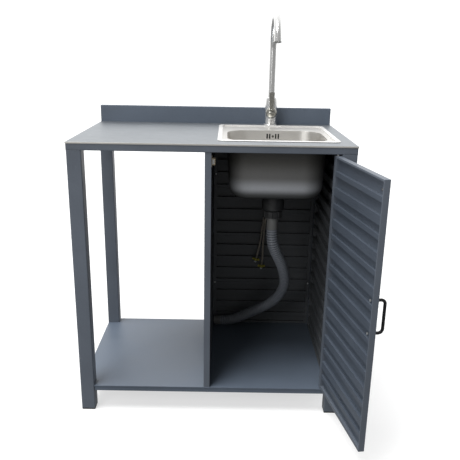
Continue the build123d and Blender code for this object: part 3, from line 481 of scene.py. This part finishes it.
# ---- waste hose --------------------------------------------------------------------------
WASTE_ROUTE = (
    (205.0, 239.0, 581.0), (205.0, 239.0, 545.0), (218.0, 254.0, 500.0), (241.0, 280.0, 455.0),
    (259.0, 311.0, 405.0), (270.0, 346.0, 352.0), (264.0, 383.0, 300.0), (243.0, 414.0, 252.0),
    (207.0, 441.0, 214.0), (167.0, 465.0, 184.0), (128.0, 487.0, 155.0), (94.0, 508.0, 129.5),
    (62.0, 524.0, 113.6), (33.0, 529.0, 111.9))
HOSE_R = 20.0
HOSE_END_R = 18.8
RIDGE_DEPTH = 2.8
RIDGE_WIDTH = 0.6           # below 1, a ridge is wider than the valley beside it
PULL = 0.25                 # a ridge loses up to twice this share where the hose is stretched
PULL_WAVE = 70.0            # the stretch comes and goes once in 2 * pi times this length

waste_path = smooth_route("waste_route", WASTE_ROUTE, HOSE_STEP)
waste_length = path_length(waste_path)


def ridged(travelled):
    """Radius of the corrugated hose: rounded ridges, narrow valleys, plain ends."""
    from_end = min(travelled, waste_length / MM - travelled)
    if from_end < PLAIN_END:
        return HOSE_END_R
    wave = 0.5 + 0.5 * math.cos(2 * math.pi * (from_end - PLAIN_END) / RIDGE_PITCH + math.pi)
    pulled = 1.0 - PULL + PULL * math.sin(travelled / PULL_WAVE)
    return HOSE_R - RIDGE_DEPTH + RIDGE_DEPTH * pulled * wave ** RIDGE_WIDTH


waste_hose = tube("waste_hose_skin", waste_path, ridged, hose_plastic, sides=48)
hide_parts("waste_hose")

# ---- supply hoses ------------------------------------------------------------------------
COLD_ROUTE = (
    (199.5, 542.0, 835.0), (199.5, 542.0, 778.0), (203.0, 541.0, 695.0), (201.5, 540.0, 615.0),
    (194.5, 541.0, 543.0), (187.0, 542.0, 483.0), (181.8, 542.5, 430.0), (172.4, 543.0, 391.0))
HOT_ROUTE = (
    (211.5, 542.0, 835.0), (211.5, 542.0, 778.0), (213.5, 536.0, 695.0), (209.0, 530.5, 615.0),
    (201.5, 531.5, 548.0), (195.5, 534.0, 487.0), (194.0, 536.0, 430.0), (193.4, 537.5, 385.0),
    (192.0, 538.5, 365.0))
SUPPLY_STEP = 1.6
SUPPLY_R = 4.0
FERRULE_R = 4.8
FERRULE_EDGE = 0.6
GROOVES = (0.3, 0.62)       # places of the pressed grooves, as shares of a ferrule's length
GROOVE_DEPTH = 0.5
UPPER_FERRULE = 20.0
LOWER_FERRULE = 14.0
NUT_R = 9.0
NUT_LONG = 11.0
WING_HALF = 14.5            # from the nut's axis to a wing's tip
WING_T = 5.0
WING_LONG = 9.0
PLUG_R = 5.5
PLUG_OUT = 7.0
UPWARD = Vector((0.0, 0.0, 1.0))


def wing_nut(name, start, along):
    """A union nut: a chamfered hub with a collar towards the hose and two rounded wings."""
    hub = [(FERRULE_R, 0.0), (NUT_R - 1.2, 0.0), (NUT_R, 1.2), (NUT_R, NUT_LONG - 3.2),
           (NUT_R - 1.0, NUT_LONG - 2.2), (NUT_R - 1.0, NUT_LONG - 0.8),
           (NUT_R - 1.8, NUT_LONG), (PLUG_R, NUT_LONG)]
    made = [turned(name, hub, start, along, brass, sides=48)]
    across = Vector((1.0, 0.0, -along.x / along.z)).normalized()
    side = along.cross(across)
    # (distance from the nut's axis, distance along it) round the wing
    outline = ((NUT_R - 2.5, 0.6), (NUT_R + 2.5, 0.2), (WING_HALF - 1.4, 0.3),
               (WING_HALF - 0.3, 1.4), (WING_HALF, 3.0), (WING_HALF, WING_LONG - 2.6),
               (WING_HALF - 0.8, WING_LONG - 0.9), (WING_HALF - 2.4, WING_LONG),
               (NUT_R + 1.0, WING_LONG - 0.8), (NUT_R - 2.5, WING_LONG - 0.2))
    middle = (NUT_R + 2.0, WING_LONG / 2)
    # (depth, size of the outline there) through the wing's thickness
    layers = ((-WING_T / 2, 0.86), (-WING_T / 2 + 0.5, 0.96), (-WING_T / 2 + 1.2, 1.0),
              (WING_T / 2 - 1.2, 1.0), (WING_T / 2 - 0.5, 0.96), (WING_T / 2, 0.86))
    for turn, label in ((1.0, name + "_wing_right"), (-1.0, name + "_wing_left")):
        rings = []
        for depth, size in layers:
            rings.append([start + (across * turn * (middle[0] + (out - middle[0]) * size)
                                   + along * (middle[1] + (height - middle[1]) * size)
                                   + side * depth) * MM for out, height in outline])
        made.append(piece(label, ring_mesh(label, rings), brass, WING_EDGE))
    for part in made:
        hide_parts("union_nuts")
    return made


def ferrule(name, start, along, length):
    """A crimped sleeve with two pressed grooves."""
    bore = SUPPLY_R * 0.6
    small = FERRULE_R - 0.4
    profile = [(bore, 0.0), (small, 0.0), (FERRULE_R, FERRULE_EDGE)]
    for groove in GROOVES:
        middle = groove * length
        profile += [(FERRULE_R, middle - 1.6), (FERRULE_R - GROOVE_DEPTH, middle - 0.8),
                    (FERRULE_R - GROOVE_DEPTH, middle + 0.8), (FERRULE_R, middle + 1.6)]
    profile += [(FERRULE_R, length - FERRULE_EDGE), (small, length), (bore, length)]
    made = turned(name, profile, start, along, ferrule_steel, sides=32)
    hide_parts("hose_ferrules")
    return made


def union_plug(name, start, along):
    """A white plug that fills the nut and stands out of it, with a hollow end."""
    tip = NUT_LONG + PLUG_OUT
    profile = [(0.0, 3.0), (PLUG_R, 3.0), (PLUG_R, NUT_LONG + 1.0), (PLUG_R - 0.8, NUT_LONG + 1.6),
               (PLUG_R - 0.8, tip - 1.5), (PLUG_R - 1.8, tip), (PLUG_R - 3.0, tip),
               (PLUG_R - 3.4, tip - 2.5), (0.0, tip - 2.5)]
    made = turned(name, profile, start, along, white_plastic, sides=32)
    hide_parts("union_plugs")
    return made


for name, route, node in (("cold", COLD_ROUTE, "cold_supply_hose"),
                          ("hot", HOT_ROUTE, "hot_supply_hose")):
    path = smooth_route(name + "_route", route, SUPPLY_STEP)
    hose = tube(name + "_hose_skin", path, lambda travelled: SUPPLY_R, braided,
                sides=24)
    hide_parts(node)
    end = point(*route[-1])
    along = (end - point(*route[-2])).normalized()
    nut_start = end + along * LOWER_FERRULE * MM
    ferrule(name + "_upper_ferrule", point(*route[0]), UPWARD, UPPER_FERRULE)
    lower = ferrule(name + "_lower_ferrule", end, along, LOWER_FERRULE)
    nut = wing_nut(name + "_union_nut", nut_start, along)
    plug = union_plug(name + "_union_plug", nut_start, along)

# ---- shown CAD nodes ---------------------------------------------------------------------
WELD = 0.00001              # metres
FLAT_WITHIN = 1.0           # degrees; faces that meet at less are joined into one
EDGE_FROM = 35.0            # degrees; edges sharper than this are rounded

# Material, width of the rounded edge, nodes
SHOWN = (
    (coat, 0.6, ("front_left_leg", "front_right_leg", "rear_left_leg", "rear_right_leg",
                 "front_top_rail", "rear_top_rail", "left_top_rail", "right_top_rail",
                 "divider_top_rail")),
    (coat, 0.5, ("divider_frame", "door_frame")),
    # The shelf, plank and door coats below carry painted light and painted shade.
    (shelf_coat_light_matched, 1.4, ("bottom_shelf", "splashback")),
    (plank_coat_light_matched, 0.5, ("back_panel_frame", "side_panel_frame", "back_planks", "side_planks",
                       "divider_planks")),
    (door_coat_light_matched, 0.5, ("door_planks",)),
    (worktop_steel, 1.4, ("worktop",)),
    (deck_steel_painted_light, 0.3, ("sink_bowl",)),
    (tap_steel, 0.2, ("tap_base_ring", "tap_body", "spout", "aerator")),
    (lever_steel, 0.3, ("mixer_hub", "mixer_lever", "lever_pin")),
    (brass, 0.3, ("tap_shank", "tap_backnut")),
    (zinc, 0.2, ("panel_screws", "handle_screws", "hinge_pins", "hinge_washer")),
    (small_steel, 0.2, ("catch_magnet", "strike_plate", "drain_flange", "strainer_basket",
                        "sink_clips")),
    (dark_steel, 0.2, ("waste_screws",)),
    (black_plastic, 0.2, ("hinge_bushes",)),
    (black_plastic, 0.4, ("waste_body", "waste_nut")),
    (black_lacquer, 0.3, ("overflow_housing", "overflow_pipe", "door_handle")),
    (foot_plastic, 0.6, ("foot_caps",)),
    (rubber, 0.1, ("sink_gasket", "drain_seal")),
    (cuff_plastic, 0.4, ("hose_cuff", "hose_end_cuff")),
    (beige_plastic, 0.3, ("magnetic_catch",)),
    (white_plastic, 0.2, ("mixer_cartridge",)))


def show(node, material, bevel):
    """A CAD node gets its material, clean faces and small rounded edges."""
    node.data.materials.clear()
    node.data.materials.append(material)
    if "custom_normal" in node.data.attributes:
        node.data.attributes.remove(node.data.attributes["custom_normal"])
    node.data.polygons.foreach_set("use_smooth", [True] * len(node.data.polygons))
    weld = node.modifiers.new("weld", "WELD")
    weld.merge_threshold = WELD
    dissolve = node.modifiers.new("dissolve", "DECIMATE")
    dissolve.decimate_type = "DISSOLVE"
    dissolve.angle_limit = math.radians(FLAT_WITHIN)
    rounding = node.modifiers.new("rounding", "BEVEL")
    rounding.width = bevel * MM
    rounding.segments = 2
    rounding.limit_method = "ANGLE"
    rounding.angle_limit = math.radians(EDGE_FROM)
    rounding.harden_normals = True


FACING_OUT = 0.3            # least share of a normal that makes a face part of the outside
FACING_FRONT = 0.5          # least share of a normal that makes a face part of the front


def bowl_side(centre, normal):
    """0 for the bowl's deck, 1 for its outside below the deck and 2 for its inside."""
    if centre.z > bowl_centre.z:
        return 0
    out = centre - bowl_centre
    out.z = 0.0
    outside = normal.z < -FACING_OUT or out.normalized().dot(normal) > FACING_OUT
    return 1 if outside else 2


for material, bevel, names in SHOWN:
    for name in names:
        show(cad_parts[name], material, bevel)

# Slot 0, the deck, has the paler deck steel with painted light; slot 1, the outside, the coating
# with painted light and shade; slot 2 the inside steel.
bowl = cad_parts["sink_bowl"]
bowl.data.materials.append(under_coating_painted_light)
bowl.data.materials.append(bowl_steel)
for face in bowl.data.polygons:
    face.material_index = bowl_side(bowl.matrix_world @ face.center, face.normal)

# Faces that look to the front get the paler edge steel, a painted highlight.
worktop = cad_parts["worktop"]
worktop.data.materials.append(edge_steel_painted_highlight)
for face in worktop.data.polygons:
    face.material_index = int(face.normal.y < -FACING_FRONT)

# ---- floor and light ---------------------------------------------------------------------
WHITE = (1.0, 1.0, 1.0, 1.0)
FLOOR_HALF = 12.0           # metres
FLOOR_GLOW = 0.6            # light of the floor itself, which softens the shadows on it
OVERHEAD = 0.92             # brightness that it gives a white surface that faces it
OVERHEAD_SPREAD = 30.0      # angle that the overhead light fills, in degrees
OVERHEAD_FROM = (-0.3, -0.2, 1.0)
FRONT_AT = (-1500.0, -2400.0, 1900.0)
FRONT_AIM = (0.0, 100.0, 450.0)
FRONT_SIZE = 1.2            # metres
FRONT_POWER = 30.0          # watts
ROOM_FRONT = 0.36           # brightness of the room on the user's side
ROOM_BACK = 1.35            # brightness of the room behind the cabinet
ROOM_TURN = (-0.2, 0.5)     # those two blend between these y values of a direction
ROOM_BELOW = 0.25           # brightness of the room below
ROOM_SINK = (-0.22, -0.12)  # it blends in between these z values of a direction

work = bmesh.new()
bmesh.ops.create_grid(work, x_segments=2, y_segments=2, size=FLOOR_HALF)
floor_mesh = bpy.data.meshes.new("floor")
work.to_mesh(floor_mesh)
work.free()
floor = bpy.data.objects.new("floor", floor_mesh)
scene.collection.objects.link(floor)
material, tree, shader, at = shaded("floor", Roughness=0.9, Emission_Strength=FLOOR_GLOW,
                                    Emission_Color=WHITE)
tint = blend_colour(tree, spread(tree, noise(tree, at, 3.0)), srgb(172, 172, 172),
                    srgb(176, 176, 176))
tree.links.new(tint, shader.inputs["Base Color"])
floor_mesh.materials.append(material)
# The floor throws no light, reflection or shadow on the object.
floor.visible_diffuse = False
floor.visible_glossy = False
floor.visible_shadow = False

overhead = bpy.data.lights.new("overhead", "SUN")
overhead.energy = OVERHEAD * math.pi
overhead.angle = math.radians(OVERHEAD_SPREAD)
sun = bpy.data.objects.new("overhead", overhead)
scene.collection.objects.link(sun)
sun.rotation_euler = Vector(OVERHEAD_FROM).to_track_quat("Z", "Y").to_euler()

front = bpy.data.lights.new("front", "AREA")
front.size = FRONT_SIZE
front.energy = FRONT_POWER
panel = bpy.data.objects.new("front", front)
scene.collection.objects.link(panel)
panel.location = point(*FRONT_AT)
panel.rotation_euler = (point(*FRONT_AIM) - panel.location).to_track_quat("-Z", "Y").to_euler()

world = bpy.data.worlds.new("studio")
world.use_nodes = True
sky = world.node_tree
direction = split(sky, sky.nodes.new("ShaderNodeTexCoord").outputs["Generated"])
behind = spread(sky, direction["Y"], ROOM_FRONT, ROOM_BACK, *ROOM_TURN)
above = spread(sky, direction["Z"], 0.0, 1.0, *ROOM_SINK)
strength = sky.nodes.new("ShaderNodeMix")
strength.inputs["A"].default_value = ROOM_BELOW
sky.links.new(above, strength.inputs["Factor"])
sky.links.new(behind, strength.inputs["B"])
background = sky.nodes["Background"]
background.inputs["Color"].default_value = WHITE
sky.links.new(strength.outputs["Result"], background.inputs["Strength"])
scene.world = world
